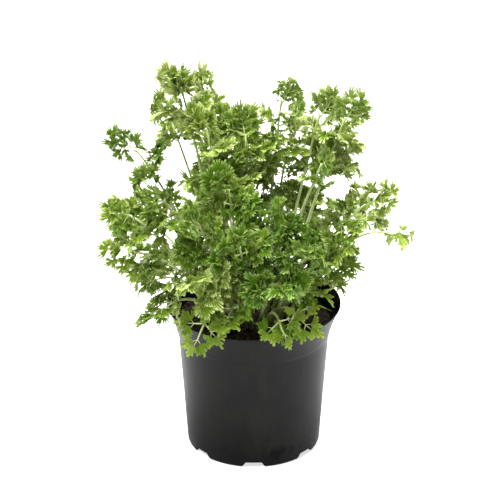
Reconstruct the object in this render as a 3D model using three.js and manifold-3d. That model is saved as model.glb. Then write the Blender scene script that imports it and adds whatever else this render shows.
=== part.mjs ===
// Curly-leaved parsley in a black nursery pot, in millimetres, +Z up.
// The origin is on the ground, on the pot's axis, and -Y is the front.
// The pot is a thin moulded shell, the soil fills it, and every frond is one body: a stalk
// that stands in its own hole in the soil, with fan-shaped leaflets cut into lobes and teeth.
import * as THREE from "three";
import { mergeVertices } from "three/addons/utils/BufferGeometryUtils.js";
import Module from "manifold-3d";

const wasm = await Module();
wasm.setup();

// ---- driving dimensions ----
const UP = new THREE.Vector3(0, 0, 1);
const RIM_RADIUS = 65;
const POT_HEIGHT = 114;
const BASE_RADIUS = 49.7;
const COLLAR_RADIUS = 56.9; // where the flared collar starts, above a small step
const COLLAR_Z = 90;
const WALL = 1.4;
const SKIRT_HEIGHT = 5; // the floor stands this far above the ground, inside a notched skirt
const SKIRT_WALL = 2.4;
const FLOOR = 1.5;
const NOTCHES = 7;
const NOTCH = { top: 11, bottom: 18, height: 4.4 };
const DRAIN = { width: 8, from: 36, to: 43 };
const ROUND_SIDES = 40;

const CLEAR = 0.3; // gap between neighbours that touch on the real thing
const SOIL_Z = 99; // soil level at the wall
const SOIL_CROWN = 3; // how much higher the soil is at the middle
const SOIL_SIDES = 20;

const STALK = { foot: 1.5, tip: 0.9, buried: 11, sides: 5, steps: 4 };
const FEET_SHARE = 0.27; // a foot stands this share of its tip's distance from the axis
const FEET_APART = 6.6;

const LEAFLET = { radius: 19, thickness: 0.85, stalk: 12, stalkWidth: 1.2, cup: 0.3, flute: 0.12 };
const LEAFLET_FORMS = 6;
const SEED = 73; // picks the scatter of the leaflets
const LEAFLET_GAP = 0.3; // least gap between leaflets of different fronds
// Where the leaflets sit: place along the stalk, side (0 is the tip), and share of full size.
const LEAFLET_PLACES = [
  [0.96, 0, 1.0],
  [0.87, 1, 0.95],
  [0.87, -1, 0.95],
  [0.72, 1, 1.05],
  [0.72, -1, 1.05],
];
// Turns in degrees that a leaflet tries in order, until it is clear of the other fronds.
const TURNS = [0, 25, -25, 50, -50, 75, -75, 100, -100];

// The leaflet's margin: [angle from the midrib in degrees, distance as a share of its radius],
// tooth tips and the cuts between them in turn.
const HALF_MARGIN = [
  [14, 1.04],
  [33, 0.55],
  [51, 0.98],
  [67, 0.8],
  [84, 0.88],
  [104, 0.5],
];
const MARGIN = [
  ...HALF_MARGIN.map(([angle, reach]) => [-angle, reach]).reverse(),
  [0, 0.9],
  ...HALF_MARGIN,
];

// Fronds: the stalk's tip x, y, z, how far the stalk arches above its chord, and its leaflets.
const FRONDS = [
  // the tall ones, left to right
  [-52, 2, 283, 0.06, 3],
  [-34, -8, 255, 0.06, 5],
  [-36, 34, 267, 0.08, 3],
  [-15, 12, 244, 0.04, 5],
  [-6, 4, 246, 0.04, 5],
  [20, 22, 266, 0.05, 5],
  [48, 16, 258, 0.06, 5],
  [66, 2, 260, 0.1, 5],
  [49, -14, 231, 0.08, 3],
  // the left flank, from the top down
  [-61, 24, 250, 0.1, 3],
  [-85, -5, 238, 0.16, 1],
  [-72, -24, 216, 0.12, 5],
  [-84, -30, 194, 0.2, 3],
  [-84, -14, 160, 0.28, 3],
  [-66, -40, 152, 0.3, 3],
  [-62, -46, 133, 0.4, 3],
  // the right flank, from the top down
  [39, 32, 180, 0.12, 3],
  [92, -12, 176, 0.34, 1],
  [82, 4, 191, 0.2, 3],
  [53, -26, 170, 0.2, 3],
  [52, -12, 148, 0.3, 3],
  // the front, from the top down
  [-18, -36, 220, 0.06, 5],
  [-40, -50, 200, 0.1, 5],
  [14, -40, 196, 0.08, 5],
  [-10, -60, 186, 0.12, 5],
  [38, -52, 174, 0.16, 3],
  [-38, -66, 162, 0.25, 3],
  [16, -70, 158, 0.25, 3],
  [-15, -38, 154, 0.1, 3],
  [41, -37, 140, 0.26, 3],
  // those that hang over the rim in front
  [-39, -60, 117, 0.62, 3],
  [-17, -56, 132, 0.42, 3],
  [20, -66, 124, 0.5, 3],
  [33, -54, 126, 0.45, 3],
  // the back
  [-27, 58, 206, 0.12, 5],
  [0, 66, 226, 0.1, 5],
  [28, 54, 232, 0.08, 3],
  [-90, 42, 166, 0.26, 3],
  [72, 48, 168, 0.24, 3],
  [-38, 73, 154, 0.32, 3],
  [34, 73, 156, 0.32, 3],
  [-60, 50, 130, 0.4, 3],
  [2, 72, 126, 0.45, 3],
  [58, 48, 130, 0.4, 3],
  // the right flank again, between two of those above
  [62, -26, 182, 0.2, 3],
];

const materials = {
  pot: new THREE.MeshStandardMaterial({ color: 0x2b2a29, roughness: 0.42 }),
  soil: new THREE.MeshStandardMaterial({ color: 0x2a1c13, roughness: 0.95 }),
  leaf: new THREE.MeshStandardMaterial({ color: 0x5c8c2a, roughness: 0.55 }),
};

// ---- helpers ----
const degrees = (angle) => (angle * Math.PI) / 180;

/** A repeatable scatter between -1 and 1 for a frond, one of its leaflets and a purpose. */
function scatter(frond, leaflet, purpose) {
  const wave = Math.sin(SEED + frond * 12.9898 + leaflet * 78.233 + purpose * 37.719) * 43758.5453;
  return 2 * (wave - Math.floor(wave)) - 1;
}

/** A manifold solid of a three.js geometry, whose doubled vertices are merged. */
function solidOf(geometry) {
  const bare = new THREE.BufferGeometry().setAttribute("position", geometry.getAttribute("position"));
  const merged = mergeVertices(bare.setIndex(geometry.index), 1e-3);
  const vertProperties = new Float32Array(merged.attributes.position.array);
  const triVerts = new Uint32Array(merged.index.array);
  return new wasm.Manifold(new wasm.Mesh({ numProp: 3, vertProperties, triVerts }));
}

/** A manifold solid of points and triangles. */
function solidOfFaces(points, faces) {
  const vertProperties = new Float32Array(points.flatMap((p) => [p.x, p.y, p.z]));
  return new wasm.Manifold(new wasm.Mesh({ numProp: 3, vertProperties, triVerts: new Uint32Array(faces.flat()) }));
}

/** A named mesh of a manifold solid. */
function meshOf(name, solid, material) {
  const { vertProperties, triVerts } = solid.getMesh();
  const geometry = new THREE.BufferGeometry();
  geometry.setAttribute("position", new THREE.BufferAttribute(vertProperties, 3));
  geometry.setIndex(new THREE.BufferAttribute(triVerts, 1));
  geometry.computeVertexNormals();
  const mesh = new THREE.Mesh(geometry, material);
  mesh.name = name;
  return mesh;
}

/** A profile of [radius, height] turned about the Z axis. */
function turned(profile, sides) {
  return new THREE.LatheGeometry(profile.map(([r, z]) => new THREE.Vector2(r, z)), sides).rotateX(Math.PI / 2);
}

/** A closed solid of a thin sheet: its points, moved up and down by half the thickness. */
function thickened(points, thickness, triangles) {
  const count = points.length;
  const both = [0.5, -0.5].flatMap((side) => points.map((p) => p.clone().addScaledVector(UP, side * thickness)));
  const faces = [];
  const edges = new Set(triangles.flatMap(([a, b, c]) => [`${a}-${b}`, `${b}-${c}`, `${c}-${a}`]));
  for (const [a, b, c] of triangles) {
    faces.push([a, b, c], [count + c, count + b, count + a]);
    for (const [from, to] of [[a, b], [b, c], [c, a]]) {
      if (edges.has(`${to}-${from}`)) continue;
      faces.push([to, from, count + from], [to, count + from, count + to]);
    }
  }
  return solidOfFaces(both, faces);
}

/** A closed tube through points, with a radius at each. */
function tube(points, radii, sides) {
  const rings = [];
  let side = new THREE.Vector3(1, 0, 0);
  points.forEach((p, i) => {
    const before = points[Math.max(i - 1, 0)];
    const after = points[Math.min(i + 1, points.length - 1)];
    const along = after.clone().sub(before).normalize();
    side = side.clone().addScaledVector(along, -side.dot(along)).normalize();
    const across = along.clone().cross(side);
    for (let k = 0; k < sides; k++) {
      const angle = (2 * Math.PI * k) / sides;
      const rim = p.clone().addScaledVector(side, radii[i] * Math.cos(angle));
      rings.push(rim.addScaledVector(across, radii[i] * Math.sin(angle)));
    }
  });
  const faces = [];
  for (let i = 0; i + 1 < points.length; i++) {
    for (let k = 0; k < sides; k++) {
      const [a, b] = [i * sides + k, i * sides + ((k + 1) % sides)];
      faces.push([a, b, b + sides], [a, b + sides, a + sides]);
    }
  }
  const last = (points.length - 1) * sides;
  for (let k = 1; k + 1 < sides; k++) faces.push([0, k + 1, k], [last, last + k, last + k + 1]);
  return solidOfFaces(rings, faces);
}

// ---- pot ----
function wallRadius(z) {
  return BASE_RADIUS + ((COLLAR_RADIUS - 0.6 - BASE_RADIUS) * z) / COLLAR_Z;
}

function potProfile() {
  const floorTop = SKIRT_HEIGHT + FLOOR;
  const flare = RIM_RADIUS - COLLAR_RADIUS;
  const rise = POT_HEIGHT - COLLAR_Z;
  const collar = [0.36, 0.66, 0.9].map((t) => [COLLAR_RADIUS + flare * t ** 1.3, COLLAR_Z + rise * t]);
  return [
    [0, SKIRT_HEIGHT],
    [wallRadius(SKIRT_HEIGHT) - SKIRT_WALL, SKIRT_HEIGHT],
    [BASE_RADIUS - SKIRT_WALL - 0.6, 0],
    [BASE_RADIUS - 1.2, 0],
    [wallRadius(2), 2],
    [wallRadius(COLLAR_Z), COLLAR_Z],
    [COLLAR_RADIUS, COLLAR_Z + 0.7],
    ...collar,
    [RIM_RADIUS, POT_HEIGHT - 0.7],
    [RIM_RADIUS - 0.5, POT_HEIGHT],
    [RIM_RADIUS - WALL, POT_HEIGHT],
    ...collar.map(([r, z]) => [r - WALL, z + 0.5]).reverse(),
    [COLLAR_RADIUS - WALL, COLLAR_Z],
    [wallRadius(floorTop) - WALL, floorTop],
    [0, floorTop],
  ];
}

/** Cuts a notch through the skirt and a drain slot through the floor behind it. */
function drainCutter(angle) {
  const { top, bottom, height } = NOTCH;
  const outline = new THREE.Shape([
    new THREE.Vector2(-bottom / 2 - 0.75, -1),
    new THREE.Vector2(bottom / 2 + 0.75, -1),
    new THREE.Vector2(top / 2, height),
    new THREE.Vector2(-top / 2, height),
  ]);
  const notch = new THREE.ExtrudeGeometry(outline, { depth: 12, bevelEnabled: false });
  notch.rotateX(Math.PI / 2).translate(0, -BASE_RADIUS + 8, 0).rotateZ(angle);
  const slot = new THREE.BoxGeometry(DRAIN.width, DRAIN.to - DRAIN.from, 3 * FLOOR);
  slot.translate(0, -(DRAIN.from + DRAIN.to) / 2, SKIRT_HEIGHT + FLOOR / 2).rotateZ(angle);
  return [solidOf(notch), solidOf(slot)];
}

function makePot() {
  const cutters = Array.from({ length: NOTCHES }, (_, i) => drainCutter((2 * Math.PI * i) / NOTCHES)).flat();
  return solidOf(turned(potProfile(), ROUND_SIDES)).subtract(wasm.Manifold.union(cutters));
}

// ---- soil ----
/** The soil's height over the ground: a low mound with uneven lumps. */
function soilHeight(x, y) {
  const mound = SOIL_CROWN * (1 - Math.hypot(x, y) / RIM_RADIUS);
  return SOIL_Z + mound + 1.1 * Math.sin(0.23 * x + 1) * Math.cos(0.19 * y) + 0.7 * Math.sin(0.5 * x - 0.44 * y);
}

function makeSoil(holes) {
  const bottom = SKIRT_HEIGHT + FLOOR + CLEAR;
  const inside = WALL + CLEAR;
  const rings = [0.72, 0.36, 0].map((share) => [share * COLLAR_RADIUS, SOIL_Z]);
  const profile = [
    [0, bottom],
    [wallRadius(bottom) - inside, bottom],
    [COLLAR_RADIUS - inside, COLLAR_Z],
    [COLLAR_RADIUS - inside + 1.1, SOIL_Z - 3],
    ...rings,
  ];
  const geometry = turned(profile, SOIL_SIDES);
  const position = geometry.getAttribute("position");
  for (let i = 0; i < position.count; i++) {
    if (position.getZ(i) < SOIL_Z - 1) continue;
    position.setZ(i, soilHeight(position.getX(i), position.getY(i)));
  }
  return solidOf(geometry).subtract(wasm.Manifold.union(holes));
}

// ---- fronds ----
/** The stalks' feet on the soil: nearer the axis than the tips, and pushed apart until they have room. */
function feetOf(fronds) {
  const feet = fronds.map(([x, y]) => [FEET_SHARE * x, FEET_SHARE * y]);
  for (let round = 0; round < 60; round++) {
    for (let i = 0; i < feet.length; i++) {
      for (let j = 0; j < i; j++) {
        const [dx, dy] = [feet[i][0] - feet[j][0], feet[i][1] - feet[j][1]];
        const apart = Math.hypot(dx, dy);
        if (apart >= FEET_APART) continue;
        const push = (FEET_APART - apart) / apart / 2;
        feet[i] = [feet[i][0] + dx * push, feet[i][1] + dy * push];
        feet[j] = [feet[j][0] - dx * push, feet[j][1] - dy * push];
      }
    }
  }
  return feet.map(([x, y]) => new THREE.Vector3(x, y, soilHeight(x, y)));
}

/** The curve that a frond's stalk follows above the soil. */
function stalkCurve(foot, [x, y, z, arch]) {
  const tip = new THREE.Vector3(x, y, z);
  const middle = foot.clone().lerp(tip, 0.5).addScaledVector(UP, arch * foot.distanceTo(tip));
  return new THREE.QuadraticBezierCurve3(foot, middle, tip);
}

function makeStalk(curve) {
  const buried = curve.v0.clone().addScaledVector(curve.getTangent(0), -STALK.buried);
  const points = [buried, ...curve.getPoints(STALK.steps)];
  const radii = points.map((_, i) => STALK.foot + ((STALK.tip - STALK.foot) * Math.max(i - 1, 0)) / STALK.steps);
  return tube(points, radii, STALK.sides);
}

/** The plain hole that a stalk stands in. */
function makeHole(curve) {
  const along = curve.getTangent(0);
  const radius = STALK.foot + CLEAR / Math.cos(Math.PI / STALK.sides);
  const ends = [-STALK.buried - CLEAR, 6].map((reach) => curve.v0.clone().addScaledVector(along, reach));
  return tube(ends, [radius, radius], STALK.sides);
}

/** One leaflet along +X from its root, upper side up: a short stalk and a cut, cupped, fluted fan. */
function makeLeaflet(form) {
  const { radius, thickness, stalk, stalkWidth, cup, flute } = LEAFLET;
  const half = stalkWidth / 2;
  const points = [[0, -half, 0], [0, half, 0], [stalk, half, 0], [stalk, -half, 0]];
  MARGIN.forEach(([angle, reach], i) => {
    const out = radius * reach * (1 + 0.08 * scatter(form, i, 5));
    const height = out * ((i % 2 ? flute : -flute) * (1 + scatter(form, i, 6)) - cup * reach);
    points.push([stalk + out * Math.cos(degrees(angle)), out * Math.sin(degrees(angle)), height]);
  });
  const first = 4;
  const middle = first + (MARGIN.length - 1) / 2;
  const triangles = [[0, 3, 1], [1, 3, 2], [3, middle, 2]];
  for (let i = first; i + 1 < points.length; i++) triangles.push([i < middle ? 3 : 2, i, i + 1]);
  return thickened(points.map((p) => new THREE.Vector3(...p)), thickness, triangles);
}

/** Where a leaflet sits: its root is on the stalk, +X is the way it reaches and +Z its upper side. */
function leafletPlace(curve, frond, leaflet, turn) {
  const [place, side, share] = LEAFLET_PLACES[leaflet];
  const along = curve.getTangent(place);
  const outward = new THREE.Vector3(curve.v2.x, curve.v2.y, 0).normalize();
  const reach = side ? UP.clone().cross(outward).multiplyScalar(side) : outward.clone();
  reach.applyAxisAngle(along, degrees(45 * scatter(frond, leaflet, 1) + turn));
  reach.multiplyScalar(side ? 1 : 0.4).addScaledVector(along, side ? 0.5 : 1).normalize();
  const upper = new THREE.Vector3(...[2, 3, 4].map((purpose) => 0.5 * scatter(frond, leaflet, purpose)));
  upper.addScaledVector(outward, 0.6).addScaledVector(UP, 0.6);
  upper.addScaledVector(reach, -upper.dot(reach)).normalize();
  const matrix = new THREE.Matrix4().makeBasis(reach, upper.clone().cross(reach), upper);
  return matrix.scale(new THREE.Vector3(share, share, share)).setPosition(curve.getPoint(place));
}

function near(a, b) {
  const [p, q] = [a.boundingBox(), b.boundingBox()];
  return [0, 1, 2].every((k) => p.min[k] < q.max[k] + LEAFLET_GAP && q.min[k] < p.max[k] + LEAFLET_GAP);
}

/** Whether a solid keeps its gap to all the others. */
function isClear(solid, others) {
  return others.every((other) => !near(solid, other) || solid.minGap(other, LEAFLET_GAP) >= LEAFLET_GAP);
}

/** The fronds' solids: stalks first, then each leaflet at the first of its turns that is clear. */
function makeFronds(curves, fixed) {
  const forms = Array.from({ length: LEAFLET_FORMS }, (_, form) => makeLeaflet(form));
  const parts = curves.map((curve) => [makeStalk(curve)]);
  LEAFLET_PLACES.forEach((_, leaflet) => {
    curves.forEach((curve, frond) => {
      if (leaflet >= FRONDS[frond][4]) return;
      const others = [...fixed, ...parts.filter((_, i) => i !== frond).flat()];
      const own = parts[frond].slice(1);
      for (const turn of TURNS) {
        const form = forms[(frond + leaflet) % LEAFLET_FORMS];
        const solid = form.transform(leafletPlace(curve, frond, leaflet, turn).elements);
        if (!isClear(solid, others) || own.some((other) => solid.intersect(other).volume() > 0.5)) continue;
        parts[frond].push(solid);
        break;
      }
    });
  });
  return parts.map((solids) => wasm.Manifold.union(solids));
}

const feet = feetOf(FRONDS);
const curves = FRONDS.map((frond, i) => stalkCurve(feet[i], frond));
const pot = makePot();
const soil = makeSoil(curves.map(makeHole));

const potted = new THREE.Group();
potted.add(meshOf("pot", pot, materials.pot), meshOf("soil", soil, materials.soil));
makeFronds(curves, [pot, soil]).forEach((solid, i) => {
  potted.add(meshOf(`frond_${String(i + 1).padStart(2, "0")}`, solid, materials.leaf));
});

export default potted;
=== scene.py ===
"""Curly-leaved parsley in a black nursery pot.

The origin is on the ground, on the pot's axis; +Z is up and -Y is the front. Shapes are in
millimetres, as in part.mjs, and Mesh.made() brings them to metres; materials, lights and the
camera are given in metres. Each frond repeats the CAD's stalk and the places of its leaflets,
and every leaflet becomes a spray of small fans, cut into lobes and teeth.
"""

import math
from collections import namedtuple

import bpy
import numpy as np
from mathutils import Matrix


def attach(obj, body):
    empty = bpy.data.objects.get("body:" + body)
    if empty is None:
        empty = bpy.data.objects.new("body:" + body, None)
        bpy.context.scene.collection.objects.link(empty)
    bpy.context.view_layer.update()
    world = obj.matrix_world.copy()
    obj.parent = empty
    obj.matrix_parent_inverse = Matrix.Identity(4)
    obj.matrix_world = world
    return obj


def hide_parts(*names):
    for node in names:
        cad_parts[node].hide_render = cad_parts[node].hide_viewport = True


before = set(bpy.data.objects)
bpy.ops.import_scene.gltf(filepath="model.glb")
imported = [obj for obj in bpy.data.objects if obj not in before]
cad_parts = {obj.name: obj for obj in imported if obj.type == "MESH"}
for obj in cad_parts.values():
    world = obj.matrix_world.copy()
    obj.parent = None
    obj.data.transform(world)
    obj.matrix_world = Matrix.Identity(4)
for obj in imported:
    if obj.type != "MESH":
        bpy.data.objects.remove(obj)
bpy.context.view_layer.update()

MM = 0.001
UP = np.array([0.0, 0.0, 1.0])

# ---- the same numbers as in part.mjs ----
RIM_RADIUS, POT_HEIGHT, BASE_RADIUS = 65, 114, 49.7
COLLAR_RADIUS, COLLAR_Z, WALL = 56.9, 90, 1.4
SKIRT_HEIGHT, SKIRT_WALL, FLOOR = 5, 2.4, 1.5
NOTCHES, NOTCH_TOP, NOTCH_BOTTOM, NOTCH_HEIGHT = 7, 11, 18, 4.4
SOIL_Z, SOIL_CROWN = 99, 3
STALK_FOOT, STALK_TIP = 1.5, 0.9
FEET_SHARE, FEET_APART = 0.27, 6.6
LEAFLET_RADIUS, LEAFLET_STALK, LEAFLET_THICKNESS, CUP, FLUTE = 19, 12, 0.85, 0.3, 0.12
LEAFLET_FORMS, SEED = 6, 73
# Place along the frond's stalk, side (0 is the tip), and share of full size.
LEAFLET_PLACES = [
    (0.96, 0, 1.0),
    (0.87, 1, 0.95),
    (0.87, -1, 0.95),
    (0.72, 1, 1.05),
    (0.72, -1, 1.05),
]
TURNS = [0, 25, -25, 50, -50, 75, -75, 100, -100]
HALF_MARGIN = [(14, 1.04), (33, 0.55), (51, 0.98), (67, 0.8), (84, 0.88), (104, 0.5)]
MARGIN = [(-a, r) for a, r in reversed(HALF_MARGIN)] + [(0, 0.9)] + HALF_MARGIN

# Fronds: the stalk's tip x, y, z, how far the stalk arches above its chord, its leaflets,
# and, for the scene alone, how young, yellow and light its green is, from -1 to 1: partly the
# leaves' own colour, partly painted light on the tall fronds and painted shade on many in front.
FRONDS = [
    # the tall ones, left to right
    (-52, 2, 283, 0.06, 3, 0.65),
    (-34, -8, 255, 0.06, 5, 0.35),
    (-36, 34, 267, 0.08, 3, 0.6),
    (-15, 12, 244, 0.04, 5, 0.1),
    (-6, 4, 246, 0.04, 5, 0.15),
    (20, 22, 266, 0.05, 5, 0.4),
    (48, 16, 258, 0.06, 5, 0.55),
    (66, 2, 260, 0.1, 5, 0.45),
    (49, -14, 231, 0.08, 3, 0.15),
    # the left flank, from the top down
    (-61, 24, 250, 0.1, 3, 0.4),
    (-85, -5, 238, 0.16, 1, -0.1),
    (-72, -24, 216, 0.12, 5, 0.1),
    (-84, -30, 194, 0.2, 3, 0.1),
    (-84, -14, 160, 0.28, 3, 0.1),
    (-66, -40, 152, 0.3, 3, 0.05),
    (-62, -46, 133, 0.4, 3, 0.1),
    # the right flank, from the top down
    (39, 32, 180, 0.12, 3, 0.1),
    (92, -12, 176, 0.34, 1, 0.5),
    (82, 4, 191, 0.2, 3, 0.4),
    (53, -26, 170, 0.2, 3, 0.1),
    (52, -12, 148, 0.3, 3, 0.1),
    # the front, from the top down
    (-18, -36, 220, 0.06, 5, -0.1),
    (-40, -50, 200, 0.1, 5, -0.05),
    (14, -40, 196, 0.08, 5, -0.45),
    (-10, -60, 186, 0.12, 5, -0.2),
    (38, -52, 174, 0.16, 3, -0.35),
    (-38, -66, 162, 0.25, 3, 0.4),
    (16, -70, 158, 0.25, 3, -0.35),
    (-15, -38, 154, 0.1, 3, -0.45),
    (41, -37, 140, 0.26, 3, 0),
    # those that hang over the rim in front
    (-39, -60, 117, 0.62, 3, 0.2),
    (-17, -56, 132, 0.42, 3, -0.05),
    (20, -66, 124, 0.5, 3, 0),
    (33, -54, 126, 0.45, 3, 0.05),
    # the back
    (-27, 58, 206, 0.12, 5, 0.15),
    (0, 66, 226, 0.1, 5, 0.05),
    (28, 54, 232, 0.08, 3, 0.15),
    (-90, 42, 166, 0.26, 3, 0.1),
    (72, 48, 168, 0.24, 3, 0.1),
    (-38, 73, 154, 0.32, 3, 0),
    (34, 73, 156, 0.32, 3, 0),
    (-60, 50, 130, 0.4, 3, 0),
    (2, 72, 126, 0.45, 3, 0),
    (58, 48, 130, 0.4, 3, 0),
    # the right flank again, between two of those above
    (62, -26, 182, 0.2, 3, 0.25),
]


# ---- the same rules as in part.mjs ----
def scatter(frond, leaflet, purpose):
    """A repeatable number between -1 and 1 for a frond, one of its leaflets and a purpose."""
    wave = math.sin(SEED + frond * 12.9898 + leaflet * 78.233 + purpose * 37.719) * 43758.5453
    return 2 * (wave - math.floor(wave)) - 1


def unit(v):
    return v / np.linalg.norm(v)


def rotated(v, axis, angle):
    """v turned about a unit axis, by an angle in radians."""
    c, s = math.cos(angle), math.sin(angle)
    return v * c + np.cross(axis, v) * s + axis * np.dot(axis, v) * (1 - c)


def wall_radius(z):
    """The radius of the pot's outside below its collar."""
    return BASE_RADIUS + (COLLAR_RADIUS - 0.6 - BASE_RADIUS) * z / COLLAR_Z


def soil_height(x, y):
    """A low mound with soft waves."""
    mound = SOIL_CROWN * (1 - np.hypot(x, y) / RIM_RADIUS)
    broad = 1.1 * np.sin(0.23 * x + 1) * np.cos(0.19 * y)
    narrow = 0.7 * np.sin(0.5 * x - 0.44 * y)
    return SOIL_Z + mound + broad + narrow


def feet_of(fronds):
    """Where the fronds leave the soil: near the axis, pushed apart from each other."""
    feet = [[FEET_SHARE * f[0], FEET_SHARE * f[1]] for f in fronds]
    for _ in range(60):
        for i in range(len(feet)):
            for j in range(i):
                dx, dy = feet[i][0] - feet[j][0], feet[i][1] - feet[j][1]
                apart = math.hypot(dx, dy)
                if apart >= FEET_APART:
                    continue
                push = (FEET_APART - apart) / apart / 2
                feet[i] = [feet[i][0] + dx * push, feet[i][1] + dy * push]
                feet[j] = [feet[j][0] - dx * push, feet[j][1] - dy * push]
    return [np.array([x, y, soil_height(x, y)]) for x, y in feet]


class Curve:
    """A frond's stalk: a quadratic Bezier from its foot to its tip."""

    def __init__(self, foot, frond):
        self.foot, self.tip = foot, np.array(frond[:3], float)
        self.middle = (foot + self.tip) / 2 + UP * frond[3] * np.linalg.norm(self.tip - foot)

    def point(self, t):
        return (1 - t) ** 2 * self.foot + 2 * t * (1 - t) * self.middle + t * t * self.tip

    def tangent(self, t):
        return unit((1 - t) * (self.middle - self.foot) + t * (self.tip - self.middle))


def leaflet_place(curve, frond, leaflet, turn, own_place=None):
    """The leaflet's axes, as the columns of a 3 x 3 matrix with its scale, and its root.

    A leaflet that the CAD doesn't have brings its own_place.
    """
    place, side, share = own_place or LEAFLET_PLACES[leaflet]
    along = curve.tangent(place)
    outward = unit(np.array([curve.tip[0], curve.tip[1], 0.0]))
    reach = np.cross(UP, outward) * side if side else outward
    reach = rotated(reach, along, math.radians(45 * scatter(frond, leaflet, 1) + turn))
    reach = unit(reach * (1 if side else 0.4) + along * (0.5 if side else 1))
    upper = np.array([0.5 * scatter(frond, leaflet, purpose) for purpose in (2, 3, 4)])
    upper = upper + 0.6 * outward + 0.6 * UP
    upper = unit(upper - reach * np.dot(upper, reach))
    axes = np.column_stack([reach, np.cross(upper, reach), upper]) * share
    return axes, curve.point(place)


def margin_points(form):
    """The leaflet's cut margin as the CAD has it, on its upper side."""
    points = []
    for i, (angle, reach) in enumerate(MARGIN):
        out = LEAFLET_RADIUS * reach * (1 + 0.08 * scatter(form, i, 5))
        flute = (FLUTE if i % 2 else -FLUTE) * (1 + scatter(form, i, 6))
        height = out * (flute - CUP * reach) + LEAFLET_THICKNESS / 2
        x, y = out * math.cos(math.radians(angle)), out * math.sin(math.radians(angle))
        points.append([LEAFLET_STALK + x, y, height])
    return np.array(points)


def turn_used(curve, frond, leaflet, cad_points):
    """The turn that the CAD gave this leaflet, found by its margin's points in the CAD.

    A leaflet that the CAD left off gets the first turn.
    """
    near = 0.05
    margin = margin_points((frond + leaflet) % LEAFLET_FORMS)
    for turn in TURNS:
        axes, root = leaflet_place(curve, frond, leaflet, turn)
        here = margin @ axes.T + root
        apart = np.linalg.norm(cad_points[:, None] - here[None], axis=2).min(0)
        if (apart < near).mean() > 0.5:
            return turn
    return TURNS[0]


# ---- mesh helpers ----
class Mesh:
    """Points in millimetres, faces, a material slot for each face, and named numbers for
    each point, which the materials read as attributes."""

    def __init__(self, *numbers):
        self.points, self.faces, self.slots = [], [], []
        self.numbers = {name: [] for name in numbers}
        self.count = 0

    def add(self, points, faces, slot=0, **numbers):
        points = np.asarray(points, float)
        self.points.append(points)
        self.faces += [[k + self.count for k in face] for face in faces]
        self.slots += [slot] * len(faces)
        for name, held in self.numbers.items():
            given = np.asarray(numbers.get(name, 0.0), float)
            held.append(np.broadcast_to(given, len(points)))
        self.count += len(points)

    def made(self, name, materials, smooth=(0,)):
        """The object in metres, with smooth shading on the slots that smooth names."""
        mesh = bpy.data.meshes.new(name)
        mesh.from_pydata((np.concatenate(self.points) * MM).tolist(), [], self.faces)
        for material in materials:
            mesh.materials.append(material)
        mesh.polygons.foreach_set("material_index", self.slots)
        mesh.polygons.foreach_set("use_smooth", [slot in smooth for slot in self.slots])
        for number, held in self.numbers.items():
            values = mesh.attributes.new(number, "FLOAT", "POINT")
            values.data.foreach_set("value", np.concatenate(held).astype(np.float32))
        mesh.update()
        piece = bpy.data.objects.new(name, mesh)
        bpy.context.scene.collection.objects.link(piece)
        return piece


def tube(mesh, points, radii, sides, slot, ridge=0.0, **numbers):
    """A closed tube through points, with a radius at each and ridges along it."""
    points = np.asarray(points, float)
    side = np.array([1.0, 0.0, 0.0])
    if abs(unit(points[-1] - points[0])[0]) > 0.9:
        side = np.array([0.0, 1.0, 0.0])
    rings = []
    angles = 2 * np.pi * np.arange(sides) / sides
    swell = 1 - ridge * (np.arange(sides) % 2)
    for i, point in enumerate(points):
        along = unit(points[min(i + 1, len(points) - 1)] - points[max(i - 1, 0)])
        side = unit(side - along * np.dot(side, along))
        across = np.cross(along, side)
        ring = np.outer(np.cos(angles) * swell, side) + np.outer(np.sin(angles) * swell, across)
        rings.append(point + radii[i] * ring)
    faces = []
    for i in range(len(points) - 1):
        for k in range(sides):
            a, b = i * sides + k, i * sides + (k + 1) % sides
            faces.append([a, b, b + sides, a + sides])
    last = (len(points) - 1) * sides
    faces += [list(range(sides))[::-1], [last + k for k in range(sides)]]
    for name, value in numbers.items():
        if np.ndim(value):
            numbers[name] = np.repeat(value, sides)
    mesh.add(np.concatenate(rings), faces, slot, **numbers)


# ---- node helpers ----
def material_of(name):
    """A new material, its node tree and its shader."""
    material = bpy.data.materials.new(name)
    material.use_nodes = True
    return material, material.node_tree, material.node_tree.nodes["Principled BSDF"]


def node(tree, kind, inputs=(), **settings):
    """A node whose inputs are linked where a socket is given, and set where a value is."""
    made = tree.nodes.new(kind)
    for key, value in settings.items():
        setattr(made, key, value)
    for key, value in dict(inputs).items():
        if isinstance(value, bpy.types.NodeSocket):
            tree.links.new(value, made.inputs[key])
        else:
            made.inputs[key].default_value = value
    return made


def object_place(tree):
    """The place on the object, in metres."""
    return node(tree, "ShaderNodeTexCoord").outputs["Object"]


def noise(tree, scale, detail=4.0, roughness=0.55, stretch=(1, 1, 1)):
    """Noise of about scale lumps a metre; a stretch below 1 draws them out along that axis."""
    mapped = node(tree, "ShaderNodeMapping", {"Vector": object_place(tree), "Scale": stretch})
    inputs = {
        "Vector": mapped.outputs["Vector"],
        "Scale": scale,
        "Detail": detail,
        "Roughness": roughness,
    }
    return node(tree, "ShaderNodeTexNoise", inputs).outputs["Fac"]


def ramp(tree, value, stops):
    """A colour ramp through (place, colour or grey) stops."""
    made = node(tree, "ShaderNodeValToRGB", {"Fac": value})
    while len(made.color_ramp.elements) < len(stops):
        made.color_ramp.elements.new(0.5)
    for element, (place, colour) in zip(made.color_ramp.elements, stops):
        element.position = place
        element.color = (*colour, 1) if isinstance(colour, tuple) else (colour, colour, colour, 1)
    return made.outputs["Color"]


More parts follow.
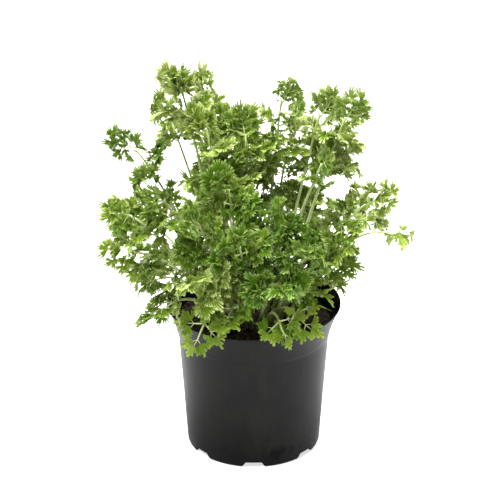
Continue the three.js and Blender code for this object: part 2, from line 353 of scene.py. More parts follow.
def mixed(tree, share, a, b, blend="MIX"):
    """Colour a with a share of colour b mixed into it."""
    made = tree.nodes.new("ShaderNodeMix")
    made.data_type, made.blend_type = "RGBA", blend
    factor_socket, a_socket, b_socket, result_socket = 0, 6, 7, 2
    for key, value in ((factor_socket, share), (a_socket, a), (b_socket, b)):
        if isinstance(value, bpy.types.NodeSocket):
            tree.links.new(value, made.inputs[key])
        else:
            made.inputs[key].default_value = (*value, 1) if isinstance(value, tuple) else value
    return made.outputs[result_socket]


def maths(tree, a, operation, b):
    return node(tree, "ShaderNodeMath", {0: a, 1: b}, operation=operation).outputs[0]


def spread(tree, value, low, high, from_low=0.0, from_high=1.0):
    """Brings a value from one range to another, and keeps it inside."""
    inputs = {
        "Value": value,
        "From Min": from_low,
        "From Max": from_high,
        "To Min": low,
        "To Max": high,
    }
    return node(tree, "ShaderNodeMapRange", inputs).outputs["Result"]


def attribute(tree, name):
    return node(tree, "ShaderNodeAttribute", attribute_name=name).outputs["Fac"]


def bump(tree, height, distance, strength):
    inputs = {"Height": height, "Distance": distance, "Strength": strength}
    return node(tree, "ShaderNodeBump", inputs).outputs["Normal"]


# ---- materials ----
# Ramps are (place, colour) stops: leaves from deep green to yellow-green, partly their own
# colour and partly painted shade and light; stalks from the soil up; the plastic's mottling;
# and compost from the hollows to the tops of its grains, darker in the hollows as painted shade.
LEAF_GREENS_AND_LIGHT = [
    (0.05, (0.045, 0.13, 0.01)),
    (0.35, (0.14, 0.28, 0.008)),
    (0.62, (0.33, 0.46, 0.035)),
    (0.95, (0.58, 0.66, 0.22)),
]
LEAF_BLOTCH = (0.045, 0.14, 0.008)
LEAF_VALLEY_SHADE = (0.22, 0.36, 0.04)
LEAF_VEIN_AND_HIGHLIGHT = (0.88, 0.84, 0.68)
LEAF_UNDERSIDE = (0.3, 0.42, 0.12)
LIGHT_THROUGH_LEAF = (0.48, 0.56, 0.09)
SHARE_THROUGH_LEAF = 0.24
STALK_GREENS = [(0.0, (0.4, 0.44, 0.17)), (0.5, (0.74, 0.82, 0.4)), (1.0, (0.46, 0.6, 0.18))]
STALK_BLOTCH = (0.3, 0.46, 0.1)
PLASTIC_BLACKS = [(0.3, (0.0075, 0.0075, 0.0075)), (0.7, (0.0115, 0.0115, 0.011))]
DUST = (0.028, 0.026, 0.023)
WET_PLASTIC = (0.003, 0.003, 0.003)
COMPOST_BROWNS_AND_HOLLOW_SHADE = [
    (0.3, (0.008, 0.005, 0.003)),
    (0.55, (0.028, 0.015, 0.009)),
    (0.75, (0.08, 0.045, 0.028)),
]
FIBRE_BROWN = (0.22, 0.11, 0.06)


def leaf_material():
    """A thin green blade: greens from deep to yellow, partly painted light and shade; dark
    valleys of painted shade between pale ridges, partly veins and partly painted highlight; a
    paler underside, a waxy gloss, and some light that shines through."""
    material, tree, shader = material_of("parsley_leaf")
    patches = spread(tree, noise(tree, scale=90), -0.22, 0.22)
    fresh = maths(tree, attribute(tree, "fresh"), "ADD", patches)
    # the green: the leaves' own colour, with painted light on the tall fronds and painted shade
    # lower in front
    green = ramp(tree, spread(tree, fresh, 0, 1, -1, 1), LEAF_GREENS_AND_LIGHT)
    blotches = spread(tree, noise(tree, scale=420, detail=5), 0, 0.35)
    blade = mixed(tree, blotches, green, LEAF_BLOTCH)
    ridge = attribute(tree, "ridge")
    # painted shade: the pleats' valleys and the fan's middle are darkened
    blade = mixed(tree, spread(tree, ridge, 0.85, 0, 0.1, 0.75), blade, LEAF_VALLEY_SHADE, "MULTIPLY")
    # pale ridges: partly veins, partly painted highlight, weaker on darker leaves
    vein_and_highlight = spread(tree, ridge, 0, 0.3, 0.6, 1)
    pale = maths(tree, vein_and_highlight, "MULTIPLY", spread(tree, fresh, 0.35, 1, -0.35, 0.35))
    blade = mixed(tree, pale, blade, LEAF_VEIN_AND_HIGHLIGHT)
    under = mixed(tree, 0.35, blade, LEAF_UNDERSIDE)
    back = node(tree, "ShaderNodeNewGeometry").outputs["Backfacing"]
    colour = mixed(tree, back, blade, under)
    rough = spread(tree, noise(tree, scale=260), 0.18, 0.36)
    grain = bump(tree, noise(tree, scale=700, detail=3), 0.0003, 0.5)
    tree.links.new(colour, shader.inputs["Base Color"])
    tree.links.new(rough, shader.inputs["Roughness"])
    tree.links.new(grain, shader.inputs["Normal"])
    shader.inputs["Specular IOR Level"].default_value = 0.14
    light = mixed(tree, 0.5, colour, LIGHT_THROUGH_LEAF)
    through = node(tree, "ShaderNodeBsdfTranslucent", {"Color": light})
    sockets = {0: SHARE_THROUGH_LEAF, 1: shader.outputs[0], 2: through.outputs[0]}
    blend = node(tree, "ShaderNodeMixShader", sockets)
    tree.links.new(blend.outputs[0], tree.nodes["Material Output"].inputs["Surface"])
    return material


def stalk_material():
    """Pale green flesh with fine lengthwise ribs, duller at the foot."""
    material, tree, shader = material_of("parsley_stalk")
    streaks = noise(tree, scale=300, stretch=(1, 1, 0.08))
    height = maths(tree, attribute(tree, "height"), "ADD", spread(tree, streaks, -0.15, 0.15))
    blotches = spread(tree, noise(tree, scale=120), 0, 0.35)
    colour = mixed(tree, blotches, ramp(tree, height, STALK_GREENS), STALK_BLOTCH)
    ribs = noise(tree, scale=1400, detail=2, stretch=(1, 1, 0.05))
    tree.links.new(colour, shader.inputs["Base Color"])
    tree.links.new(spread(tree, streaks, 0.3, 0.5), shader.inputs["Roughness"])
    tree.links.new(bump(tree, ribs, 0.0003, 0.4), shader.inputs["Normal"])
    return material


def pot_material():
    """Black moulded plastic: satin, with faint mottling, dust in upright streaks, wet
    patches near the ground and a few drops."""
    material, tree, shader = material_of("pot_plastic")
    mottle = noise(tree, scale=35, detail=5)
    dust = noise(tree, scale=60, detail=8, roughness=0.7, stretch=(1, 1, 0.35))
    dust = spread(tree, dust, 0, 0.5, 0.5, 0.8)

    height = node(tree, "ShaderNodeSeparateXYZ", {0: object_place(tree)}).outputs["Z"]
    low = spread(tree, height, 1, 0, 0.012, 0.036)
    splashed = spread(tree, noise(tree, scale=22, detail=1), 0.55, 1, 0.45, 0.6)
    streaks = noise(tree, scale=130, detail=5, roughness=0.6, stretch=(1, 1, 0.22))
    wet = maths(tree, streaks, "MULTIPLY", maths(tree, low, "MULTIPLY", splashed))
    wet = spread(tree, wet, 0, 1, 0.4, 0.54)

    cells = node(tree, "ShaderNodeTexVoronoi", {"Vector": object_place(tree), "Scale": 210})
    drops = spread(tree, cells.outputs["Distance"], 1, 0, 0.1, 0.16)
    some = spread(tree, noise(tree, scale=30, detail=2), 0, 1, 0.56, 0.62)
    drops = maths(tree, drops, "MULTIPLY", some)

    colour = mixed(tree, dust, ramp(tree, mottle, PLASTIC_BLACKS), DUST)
    colour = mixed(tree, wet, colour, WET_PLASTIC)
    rough = spread(tree, mottle, 0.32, 0.42)
    rough = maths(tree, rough, "ADD", maths(tree, dust, "MULTIPLY", 0.25))
    rough = maths(tree, rough, "SUBTRACT", maths(tree, wet, "MULTIPLY", 0.16))
    rough = maths(tree, rough, "SUBTRACT", maths(tree, drops, "MULTIPLY", 0.25))
    grain = noise(tree, scale=1800, detail=3)
    relief = maths(tree, grain, "ADD", noise(tree, scale=120, detail=2))
    relief = maths(tree, relief, "ADD", maths(tree, drops, "MULTIPLY", 3))
    tree.links.new(colour, shader.inputs["Base Color"])
    tree.links.new(rough, shader.inputs["Roughness"])
    tree.links.new(bump(tree, relief, 0.0001, 0.35), shader.inputs["Normal"])
    shader.inputs["Specular IOR Level"].default_value = 0.1
    return material


def soil_material():
    """Dark potting compost: brown-black crumbs with reddish fibres."""
    material, tree, shader = material_of("potting_soil")
    grain = noise(tree, scale=500, detail=8, roughness=0.7)
    fibres = spread(tree, attribute(tree, "fibre"), 0, 0.8)
    # the browns follow the bumps' own noise: the compost's grain, with painted shade in the
    # hollows
    colour = mixed(tree, fibres, ramp(tree, grain, COMPOST_BROWNS_AND_HOLLOW_SHADE), FIBRE_BROWN)
    tree.links.new(colour, shader.inputs["Base Color"])
    tree.links.new(spread(tree, grain, 0.75, 1), shader.inputs["Roughness"])
    tree.links.new(bump(tree, grain, 0.0015, 0.9), shader.inputs["Normal"])
    return material


# ---- fans: the small leaves that a spray is made of ----
LEAF_SLOT, STALK_SLOT = 0, 1
# A fan's three lobes: the angle of each from the fan's axis, in degrees, and its length.
LOBES = [(-54, 0.9), (0, 1.0), (54, 0.9)]
# A lobe's teeth, as angle from the lobe's own axis and length; how far out the cuts between
# teeth and between lobes begin; how light the painted shade leaves the valleys, from 0 to 1;
# and how strongly the fan is pleated, which also sets how pale its ridges are painted.
FanKind = namedtuple("FanKind", "teeth shallow_cut deep_cut valley relief")
FINE = FanKind([(-18.5, 0.86), (-6.5, 1.0), (6.5, 1.0), (18.5, 0.86)], 0.68, 0.36, 0.12, 0.9)
BROAD = FanKind([(-16, 0.8), (0, 1.0), (16, 0.8)], 0.82, 0.34, 0.42, 0.45)
TOOTH_HALF_WIDTH = 0.33  # as a share of the angle between teeth


def jitter(rng, size):
    """A random number between -size and size."""
    return rng.uniform(-size, size)


def tooth_gap(kind):
    """The angle between two teeth, in degrees."""
    return kind.teeth[1][0] - kind.teeth[0][0]


def fan_spokes(rng, kind):
    """A fan's ridges, which end in teeth, and the valleys between them, in order of angle:
    angle in degrees, length, and whether it is a ridge."""
    spokes = []
    for lobe, (middle, size) in enumerate(LOBES):
        middle += jitter(rng, 6)
        size *= rng.uniform(0.85, 1.12)
        for tooth, (angle, length) in enumerate(kind.teeth):
            angle += middle
            if tooth:
                cut = size * kind.shallow_cut * rng.uniform(0.92, 1.05)
                spokes.append((angle - tooth_gap(kind) / 2, cut, False))
            elif lobe:
                cut = kind.deep_cut * rng.uniform(0.8, 1.25)
                spokes.append(((spokes[-1][0] + angle) / 2, cut, False))
            angle += jitter(rng, 1.5)
            spokes.append((angle, size * length * rng.uniform(0.92, 1.07), True))
    return spokes


def fan(mesh, rng, base, axes, radius, fresh, kind=FINE):
    """A small fan-shaped leaf: pleats that run out into blunt teeth, ruffled and curled at
    its margin."""
    pleat = rng.uniform(0.06, 0.1) * kind.relief
    droop = rng.uniform(-0.1, 0.65)
    dish = rng.uniform(-0.2, 0.55)
    waves = rng.uniform(2.5, 5)
    phase = rng.uniform(0, 6.3)
    ruffle = rng.uniform(0.12, 0.3)
    # the points of a ridge and of a valley: share of its length, and degrees to the side
    blunt = TOOTH_HALF_WIDTH * tooth_gap(kind)
    ridge_points = [(0.34, 0), (0.68, 0), (1, -blunt), (1, blunt)]
    valley_points = [(0.45, 0), (1, 0)]
    points, ridges, faces, starts = [(0.0, 0.0, 0.0)], [0.5], [], []
    for angle, length, ridge in fan_spokes(rng, kind):
        starts.append((len(points), ridge))
        for share, aside in ridge_points if ridge else valley_points:
            reach, turn = share * length, math.radians(angle + aside)
            lift = (pleat if ridge else -pleat) * min(1.3 * reach, 1) * (0.7 if aside else 1)
            lift += ruffle * reach**2 * math.sin(waves * turn + phase) - droop * reach**2
            lift += dish * abs(reach * math.sin(turn)) ** 1.5
            points.append((reach * math.cos(turn), reach * math.sin(turn), lift))
            # the ridge number: low in the valleys and the fan's middle for painted shade, rising
            # along ridges to the teeth for pale veins and painted highlight
            ridges.append(0.55 + 0.45 * kind.relief * share if ridge else kind.valley)
    for (a, ridge), (b, _) in zip(starts, starts[1:]):
        corner = [a + 1, a + 3, b + 1] if ridge else [a + 1, b + 2, b + 1]
        faces += [[0, a, b], [a, a + 1, b + 1], [a, b + 1, b], corner]
    faces += [[a + 1, a + 2, a + 3] for a, ridge in starts if ridge]
    placed = base + radius * np.array(points) @ axes.T
    mesh.add(placed, faces, LEAF_SLOT, ridge=ridges, fresh=fresh)


def turned_axes(axes, yaw, pitch, roll):
    """Unit axes turned in their own plane, then pitched and rolled, in degrees."""
    x, y, z = axes.T / np.linalg.norm(axes, axis=0)[:, None]
    x, y = rotated(x, z, math.radians(yaw)), rotated(y, z, math.radians(yaw))
    x, z = rotated(x, y, math.radians(pitch)), rotated(z, y, math.radians(pitch))
    y, z = rotated(y, x, math.radians(roll)), rotated(z, x, math.radians(roll))
    return np.column_stack([x, y, z])


# ---- sprays: one for each leaflet ----
# A spray's branches: where each leaves the leaflet's stalk, its heading and length, and its
# fan's radius and pitch.
BRANCHES = [
    (12, 0, 9.2, 9.9, 8),
    (12, 40, 8.2, 9.6, 8),
    (12, -40, 8.2, 9.6, 8),
    (9, 76, 8.2, 9.2, 4),
    (9, -76, 8.2, 9.2, 4),
    (5, 96, 4.5, 7.6, 0),
    (5, -96, 4.5, 7.6, 0),
]
# The same for a leaflet of few, broad fans on short branches.
FEW_BRANCHES = [
    (12, 0, 5.5, 12.5, 8),
    (11, 52, 4.5, 12, 8),
    (11, -52, 4.5, 12, 8),
    (7, 90, 4, 9.5, 4),
    (7, -90, 4, 9.5, 4),
]
# A branch of many that is longer than this has a fan of this radius on each side as well.
LONG_BRANCH, SIDE_FAN = 5, 6.8
# Fans that stand over the middle of a spray: start, heading, radius and pitch.
MIDDLE_FANS = [(14, 12, 8.8, -28), (10, -35, 8.2, -36), (10, 40, 8.2, -34), (6, 0, 7.6, -20)]
# The leaflet's stalk and its branches: a tube's radii from its root out, and its sides.
LEAFLET_TUBE = ([0.7, 0.6, 0.5, 0.42], 6)
BRANCH_TUBE = ([0.36, 0.3, 0.2], 5)
LEAFLET_STALK_GREENER = 0.45  # than the frond's stalk at the same height

# How a frond's leaflets look: their reach and the size of their fans, 1 as above, how many
# branches they have (up to five are FEW_BRANCHES), how many of the MIDDLE_FANS, and how far
# the fans hang, in degrees.
LeafForm = namedtuple("LeafForm", "reach size branches middle hang")
USUAL_FORM = LeafForm(1, 1, 7, 4, 0)
LEAF_FORMS = {
    1: LeafForm(0.95, 1.05, 7, 4, 0),
    3: LeafForm(0.95, 1.05, 7, 4, 0),
    6: LeafForm(1.0, 0.8, 7, 4, 50),
    9: LeafForm(0.72, 0.75, 7, 4, 0),
    10: LeafForm(1.1, 0.95, 7, 2, 0),
    11: LeafForm(1.08, 0.9, 7, 2, 0),
    12: LeafForm(1.1, 0.95, 7, 1, 0),
    13: LeafForm(1.15, 0.95, 7, 1, 0),
    14: LeafForm(1.15, 0.95, 7, 1, 0),
    15: LeafForm(1.0, 0.88, 7, 1, 0),
    16: LeafForm(1.1, 0.95, 7, 2, 0),
    18: LeafForm(1.3, 1.0, 4, 1, 60),
    19: LeafForm(1.1, 0.95, 7, 2, 0),
    20: LeafForm(1.05, 0.95, 7, 2, 0),
    30: LeafForm(0.8, 0.85, 5, 2, 0),
    31: LeafForm(0.75, 0.82, 3, 0, 0),
    32: LeafForm(0.95, 1.0, 5, 2, 0),
    33: LeafForm(0.7, 0.8, 3, 0, 0),
    34: LeafForm(0.85, 0.92, 3, 0, 0),
    36: LeafForm(0.8, 0.85, 7, 4, 0),
    39: LeafForm(0.85, 0.85, 7, 2, 0),
    45: LeafForm(0.9, 0.85, 7, 2, 0),
}

# Leaflets that only the scene has, with places as in LEAFLET_PLACES. The first list is for
# fronds by number, with a turn; the second is for every frond that isn't bare low down.
FILLING_LEAFLETS = [
    (1, (0.95, 0, 1.0), 90),
    (11, (0.87, 1, 1.0), 80),
    (36, (0.58, 1, 0.85), 0),
    (37, (0.62, 1, 0.9), 0),
    (37, (0.6, -1, 0.9), 0),
]
LOWER_PLACES = [(0.74, 1, 0.85), (0.72, -1, 0.85), (0.56, 1, 0.8), (0.53, -1, 0.8)]
BARE_FRONDS = {*range(1, 4), *range(7, 22), *range(28, 35), 39, 45}


def spray(mesh, rng, place, fresh, height, form):
    """One leaflet as a forked stalk with small fans on its branches.

    place is its axes and root; fresh, the leaves' own colour with painted light and
    shade, and height go to the materials.
    """
    axes, root = place
    fan_scale = np.linalg.norm(axes[:, 0]) * form.size
    axes = axes * form.reach
    many = form.branches > len(FEW_BRANCHES)
    kind = FINE if many else BROAD
    green = min(height + LEAFLET_STALK_GREENER, 1.0)
    stalk = [[LEAFLET_STALK * t, 0, -0.5 * math.sin(3.1 * t)] for t in (0, 0.35, 0.7, 1)]
    tube(mesh, [root + axes @ p for p in stalk], *LEAFLET_TUBE, STALK_SLOT, height=green)
    branches = BRANCHES if many else FEW_BRANCHES[: form.branches]
    for start, heading, length, radius, pitch in branches:
        heading += jitter(rng, 9)
        along = length * rng.uniform(0.85, 1.15)
        turn = math.radians(heading)
        begin = np.array([start, 0, -0.3])
        rise = -0.1 * along + jitter(rng, 1.5)
        end = begin + [along * math.cos(turn), along * math.sin(turn), rise]
        branch = (begin, (begin + end) / 2 + [0, 0, 0.2], end)
        tube(mesh, [root + axes @ p for p in branch], *BRANCH_TUBE, STALK_SLOT, height=green)
        fan_tone_and_light = fresh + jitter(rng, 0.32)
        yaw, tilt = heading + jitter(rng, 10), pitch + form.hang + jitter(rng, 20)
        turned = turned_axes(axes, yaw, tilt, jitter(rng, 28))
        size = radius * fan_scale * rng.uniform(0.88, 1.1)
        fan(mesh, rng, root + axes @ end, turned, size, fan_tone_and_light, kind)
        if many and length > LONG_BRANCH:
            for side in (-1, 1):
                yaw = heading + side * rng.uniform(40, 70)
                turned = turned_axes(axes, yaw, rng.uniform(-35, 25), jitter(rng, 40))
                base = begin + (end - begin) * rng.uniform(0.5, 0.9)
                size = SIDE_FAN * fan_scale * rng.uniform(0.8, 1.15)
                fan(mesh, rng, root + axes @ base, turned, size, fan_tone_and_light + jitter(rng, 0.2))
    for start, heading, radius, pitch in MIDDLE_FANS[: form.middle]:
        yaw, tilt = heading + jitter(rng, 25), pitch + jitter(rng, 12)
        turned = turned_axes(axes, yaw, tilt, jitter(rng, 30))
        base = root + axes @ np.array([start, 0, 0.2])
        fan(mesh, rng, base, turned, radius * fan_scale, fresh + jitter(rng, 0.25))


def scene_leaflets(rng, number, leaflets):
    """The leaflets that only the scene gives a frond: place on the stalk, and turn."""
    added = [(place, turn) for frond, place, turn in FILLING_LEAFLETS if frond == number]
    if number not in BARE_FRONDS:
        # the upper two places are taken on a frond that has all its leaflets
        first = 2 if leaflets == len(LEAFLET_PLACES) else 0
        added += [(place, jitter(rng, 40)) for place in LOWER_PLACES[first : first + 2]]
    return added


# ---- fronds ----
FROND_SEED = 1000
STALK_RINGS, STALK_SIDES, STALK_RIDGES, STALK_BURIED = 15, 10, 0.12, 8
GREENING_HEIGHT = 150  # above the soil, where a stalk has the last colour of its ramp


def make_frond(index, curve, materials):
    """One frond: its stalk, and a spray for each leaflet."""
    *_, leaflets, fresh = FRONDS[index]
    number = index + 1
    name = f"frond_{number:02d}"
    form = LEAF_FORMS.get(number, USUAL_FORM)
    rng = np.random.default_rng(FROND_SEED + index)
    mesh = Mesh("fresh", "ridge", "height")

    def height_of(point):
        return np.clip((point[2] - SOIL_Z) / GREENING_HEIGHT, 0, 1)

    steps = np.linspace(0, 1, STALK_RINGS)
    points = [curve.foot - curve.tangent(0) * STALK_BURIED] + [curve.point(t) for t in steps]
    radii = [STALK_FOOT] + [STALK_FOOT + (STALK_TIP - 0.15 - STALK_FOOT) * t for t in steps]
    heights = [height_of(point) for point in points]
    tube(mesh, points, radii, STALK_SIDES, STALK_SLOT, STALK_RIDGES, height=heights)

    cad_points = np.array([v.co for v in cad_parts[name].data.vertices]) / MM
    for leaflet in range(leaflets):
        turn = turn_used(curve, index, leaflet, cad_points)
        place = leaflet_place(curve, index, leaflet, turn)
        spray(mesh, rng, place, fresh + jitter(rng, 0.15), height_of(place[1]), form)
    added = scene_leaflets(rng, number, leaflets)
    for leaflet, (place_on_stalk, turn) in enumerate(added, len(LEAFLET_PLACES)):
        place = leaflet_place(curve, index, leaflet, turn, place_on_stalk)
        spray(mesh, rng, place, fresh - 0.15 + jitter(rng, 0.15), height_of(place[1]), form)
    piece = mesh.made(f"{name}_leaves", materials, smooth=(STALK_SLOT,))
    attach(piece, "root")
    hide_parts(name)


# ---- pot ----
POT_SIDES = 140
SHARP_ANGLE = math.radians(32)


def pot_profile():
    """[radius, height] of the pot's wall, from the middle of the floor's underside, round
    the rim, to the middle of its upper side. The small offsets round its edges."""
    floor_top = SKIRT_HEIGHT + FLOOR
    flare, rise = RIM_RADIUS - COLLAR_RADIUS, POT_HEIGHT - COLLAR_Z
    shares = np.linspace(0.06, 0.9, 10)
    collar = [(COLLAR_RADIUS + flare * t**1.3, COLLAR_Z + rise * t) for t in shares]
    return [
        (0.01, SKIRT_HEIGHT),
        (wall_radius(SKIRT_HEIGHT) - SKIRT_WALL, SKIRT_HEIGHT),
        (BASE_RADIUS - SKIRT_WALL - 0.6, 0.3),
        (BASE_RADIUS - SKIRT_WALL - 0.3, 0),
        (BASE_RADIUS - 1.2, 0),
        (BASE_RADIUS - 0.5, 0.5),
        (wall_radius(2), 2),
        *[(wall_radius(z), z) for z in (12, 30, 50, 70, 84, 89)],
        (wall_radius(COLLAR_Z) + 0.05, COLLAR_Z - 0.3),
        (COLLAR_RADIUS - 0.15, COLLAR_Z + 0.2),
        (COLLAR_RADIUS, COLLAR_Z + 0.7),
        *collar,
        (RIM_RADIUS - 0.1, POT_HEIGHT - 1.2),
        (RIM_RADIUS, POT_HEIGHT - 0.6),
        (RIM_RADIUS - 0.2, POT_HEIGHT - 0.1),
        (RIM_RADIUS - 0.6, POT_HEIGHT),
        (RIM_RADIUS - WALL + 0.2, POT_HEIGHT - 0.1),
        (RIM_RADIUS - WALL, POT_HEIGHT - 0.6),
        *[(r - WALL, z + 0.5) for r, z in reversed(collar)],
        (COLLAR_RADIUS - WALL, COLLAR_Z),
        (wall_radius(floor_top) - WALL, floor_top),
        (0.01, floor_top),
    ]


def make_pot(material):
    """The moulded shell, with notches through its skirt. The drain slots, which the soil
    hides from above, aren't cut."""
    mesh = Mesh()
    profile = pot_profile()
    count = len(profile)
    angles = 2 * np.pi * np.arange(POT_SIDES) / POT_SIDES
    points = [[r * math.cos(a), r * math.sin(a), z] for a in angles for r, z in profile]
    faces = []
    for i in range(POT_SIDES):
        here, there = i * count, (i + 1) % POT_SIDES * count
        for k in range(count - 1):
            faces.append([here + k, there + k, there + k + 1, here + k + 1])
    mesh.add(points, faces)
    pot = mesh.made("pot_shell", [material])
    for i in range(NOTCHES):
        cut_notch(pot, -math.pi / 2 + 2 * math.pi * i / NOTCHES)
    pot.data.set_sharp_from_angle(angle=SHARP_ANGLE)
    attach(pot, "root")
    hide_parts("pot")


def cut_notch(pot, angle):
    """Takes a notch out of the skirt: wider at the ground, with rounded upper corners."""
    top, bottom, height = NOTCH_TOP / 2, NOTCH_BOTTOM / 2 + 0.75, NOTCH_HEIGHT
    inner, outer = BASE_RADIUS - 8, BASE_RADIUS + 6
    right = [
        (bottom, -1),
        (top + 1.4, height - 1.5),
        (top + 0.9, height - 0.6),
        (top + 0.1, height - 0.1),
        (top - 0.8, height),
    ]
    outline = right + [(-x, z) for x, z in reversed(right)]
    across = np.array([-math.sin(angle), math.cos(angle), 0])
    out = np.array([math.cos(angle), math.sin(angle), 0])
    points = [out * r + across * x + UP * z for r in (inner, outer) for x, z in outline]
    count = len(outline)
    faces = [[k, (k + 1) % count, (k + 1) % count + count, k + count] for k in range(count)]
    faces += [list(range(count))[::-1], [count + k for k in range(count)]]
    mesh = Mesh()
    mesh.add(points, faces)
    cutter = mesh.made("cutter", [], smooth=())
    boolean = pot.modifiers.new("notch", "BOOLEAN")
    boolean.operation, boolean.solver, boolean.object = "DIFFERENCE", "EXACT", cutter
    bpy.context.view_layer.update()
    cut = pot.evaluated_get(bpy.context.evaluated_depsgraph_get())
    made = bpy.data.meshes.new_from_object(cut)
    pot.modifiers.clear()
    pot.data = made
    bpy.data.objects.remove(cutter)


# ---- soil ----
SOIL_EDGE = COLLAR_RADIUS - WALL + 1.6  # the wall's inside at the soil's level
SOIL_SEED = 7
SOIL_RINGS, SOIL_SIDES, SOIL_ROUGHNESS = 40, 120, 0.45
CRUMBS, FIBRES = 700, 160


def make_soil(material):
    """A rough bed of compost with crumbs and bits of fibre on it."""
    rng = np.random.default_rng(SOIL_SEED)
    mesh = Mesh("fibre")
    points, faces = [[0, 0, soil_height(0, 0)]], []
    for i in range(1, SOIL_RINGS + 1):
        for k in range(SOIL_SIDES):
            a = 2 * math.pi * (k + 0.5 * (i % 2)) / SOIL_SIDES
            x = SOIL_EDGE * i / SOIL_RINGS * math.cos(a)
            y = SOIL_EDGE * i / SOIL_RINGS * math.sin(a)
            rough = rng.normal(0, SOIL_ROUGHNESS) if i < SOIL_RINGS else 0
            points.append([x, y, soil_height(x, y) + rough])
    for k in range(SOIL_SIDES):
        faces.append([0, 1 + k, 1 + (k + 1) % SOIL_SIDES])
        for i in range(SOIL_RINGS - 1):
            a, b = 1 + i * SOIL_SIDES + k, 1 + i * SOIL_SIDES + (k + 1) % SOIL_SIDES
            faces.append([a, a + SOIL_SIDES, b + SOIL_SIDES, b])
    mesh.add(points, faces)
    for _ in range(CRUMBS):
        crumb(mesh, rng, SOIL_EDGE - 2)
    for _ in range(FIBRES):
        fibre(mesh, rng, SOIL_EDGE - 4)
    soil = mesh.made("soil_bed", [material])
    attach(soil, "root")
    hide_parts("soil")


def spot_inside(rng, edge):
    """A random place within a radius, as likely anywhere."""
    a = rng.uniform(0, 2 * math.pi)
    r = edge * math.sqrt(rng.uniform(0, 1))
    return r * math.cos(a), r * math.sin(a)


def crumb(mesh, rng, edge):
    """A lump of compost: a ball of 14 points, pushed in and out."""
    x, y = spot_inside(rng, edge)
    size = rng.uniform(0.5, 1.5)
    upper = [[math.cos(t), math.sin(t), 0.5] for t in np.arange(6) * math.pi / 3]
    lower = [[math.cos(t), math.sin(t), -0.5] for t in (np.arange(6) + 0.5) * math.pi / 3]
    ball = np.array([[0, 0, 1], *upper, *lower, [0, 0, -1]])
    ball = ball / np.linalg.norm(ball, axis=1)[:, None] * rng.uniform(0.7, 1.2, (14, 1))
    ball = ball * size * [1, rng.uniform(0.6, 1), 0.8]
    faces = [[0, 1 + k, 1 + (k + 1) % 6] for k in range(6)]
    faces += [[1 + k, 7 + k, 1 + (k + 1) % 6] for k in range(6)]
    faces += [[7 + k, 7 + (k + 1) % 6, 1 + (k + 1) % 6] for k in range(6)]
    faces += [[13, 7 + (k + 1) % 6, 7 + k] for k in range(6)]
    place = [x, y, soil_height(x, y) + 0.3 * size]
    mesh.add(ball + place, faces, fibre=rng.uniform(-0.2, 0.25))


def fibre(mesh, rng, edge):
    """A short bent shred of bark or root."""
    middle_x, middle_y = spot_inside(rng, edge)
    heading, length, bend = rng.uniform(0, 6.3), rng.uniform(3, 9), jitter(rng, 1)
    path = []
    for t in (-0.5, -0.2, 0.1, 0.35, 0.5):
        x = middle_x + length * t * math.cos(heading + bend * t)
        y = middle_y + length * t * math.sin(heading + bend * t)
        path.append([x, y, soil_height(x, y) + 0.9 + rng.uniform(-0.2, 0.3)])
    thick = rng.uniform(0.15, 0.45)
    radii = [0.6 * thick, thick, thick, thick, 0.5 * thick]
    tube(mesh, path, radii, 5, 0, fibre=rng.uniform(0.5, 1))


# ---- stage ----
FLOOR_HALF = 6000  # half its width, in mm
FLOOR_GREYS = [(0.0, 0.9), (1.0, 0.93)]
# The floor's glow for all, and what the camera sees on top of that: the first share near the
# pot, and the second, which is white, further off; the fade lies between these distances.
FLOOR_GLOW = 0.08
NEAR_GLOW, FAR_GLOW, FADE_FROM, FADE_TO = 0.6, 1, 0.05, 0.3
WORLD_LIGHT = 0.09
# Square lights that look at LIT: name, place, width and watts.
LIGHTS = [("key", (-0.95, -0.95, 1.9), 0.8, 37), ("top", (0.1, 0.3, 1.8), 1.1, 92)]
LIT = (0, 0, 0.15)
CAMERA_PLACE, CAMERA_DOWN = (-0.0027, -1.7, 0.9382), 24.71
CAMERA_LENS, CAMERA_SENSOR = 182.53, 36


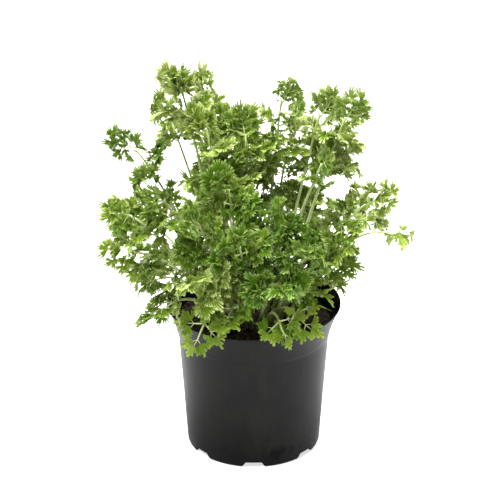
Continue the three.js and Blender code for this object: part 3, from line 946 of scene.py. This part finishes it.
def make_floor():
    """A pale floor that fades to the white of the background, for the camera alone."""
    material, tree, shader = material_of("studio_floor")
    grey = ramp(tree, noise(tree, scale=3), FLOOR_GREYS)
    away = node(tree, "ShaderNodeVectorMath", {0: object_place(tree)}, operation="LENGTH")
    white = spread(tree, away.outputs["Value"], NEAR_GLOW, FAR_GLOW, FADE_FROM, FADE_TO)
    seen = node(tree, "ShaderNodeLightPath").outputs["Is Camera Ray"]
    glow = maths(tree, maths(tree, seen, "MULTIPLY", white), "ADD", FLOOR_GLOW)
    tree.links.new(grey, shader.inputs["Base Color"])
    tree.links.new(glow, shader.inputs["Emission Strength"])
    shader.inputs["Roughness"].default_value = 0.9
    shader.inputs["Emission Color"].default_value = (1, 1, 1, 1)
    mesh = Mesh()
    corners = [(-1, -1), (1, -1), (1, 1), (-1, 1)]
    mesh.add([[x * FLOOR_HALF, y * FLOOR_HALF, 0] for x, y in corners], [[0, 1, 2, 3]])
    mesh.made("studio_floor", [material])


def make_world():
    """White to the camera, and a faint light from all round."""
    world = bpy.data.worlds.new("studio")
    bpy.context.scene.world = world
    world.use_nodes = True
    tree = world.node_tree
    background = tree.nodes["Background"]
    background.inputs["Color"].default_value = (1, 1, 1, 1)
    seen = node(tree, "ShaderNodeLightPath").outputs["Is Camera Ray"]
    tree.links.new(spread(tree, seen, WORLD_LIGHT, 1), background.inputs["Strength"])


def make_light(name, place, width, watts):
    lamp = bpy.data.lights.new(name, "AREA")
    lamp.shape, lamp.size, lamp.energy = "SQUARE", width, watts
    light = bpy.data.objects.new(name, lamp)
    light.location = place
    x, y, z = np.array(LIT, float) - np.array(place, float)
    light.rotation_euler = (math.atan2(math.hypot(x, y), -z), 0, math.atan2(-x, y))
    bpy.context.scene.collection.objects.link(light)


def make_camera():
    """The camera where the photographer's was, with the same view."""
    scene = bpy.context.scene
    camera = bpy.data.objects.new("camera", bpy.data.cameras.new("camera"))
    camera.data.lens, camera.data.sensor_width = CAMERA_LENS, CAMERA_SENSOR
    camera.data.clip_start, camera.data.clip_end = 0.01, 50
    camera.location = CAMERA_PLACE
    camera.rotation_euler = (math.radians(90 - CAMERA_DOWN), 0, 0)
    scene.collection.objects.link(camera)
    scene.camera = camera
    scene.view_settings.view_transform = "Standard"


make_floor()
make_world()
for light in LIGHTS:
    make_light(*light)
make_camera()
frond_materials = [leaf_material(), stalk_material()]
for index, foot in enumerate(feet_of(FRONDS)):
    make_frond(index, Curve(foot, FRONDS[index]), frond_materials)
make_pot(pot_material())
make_soil(soil_material())
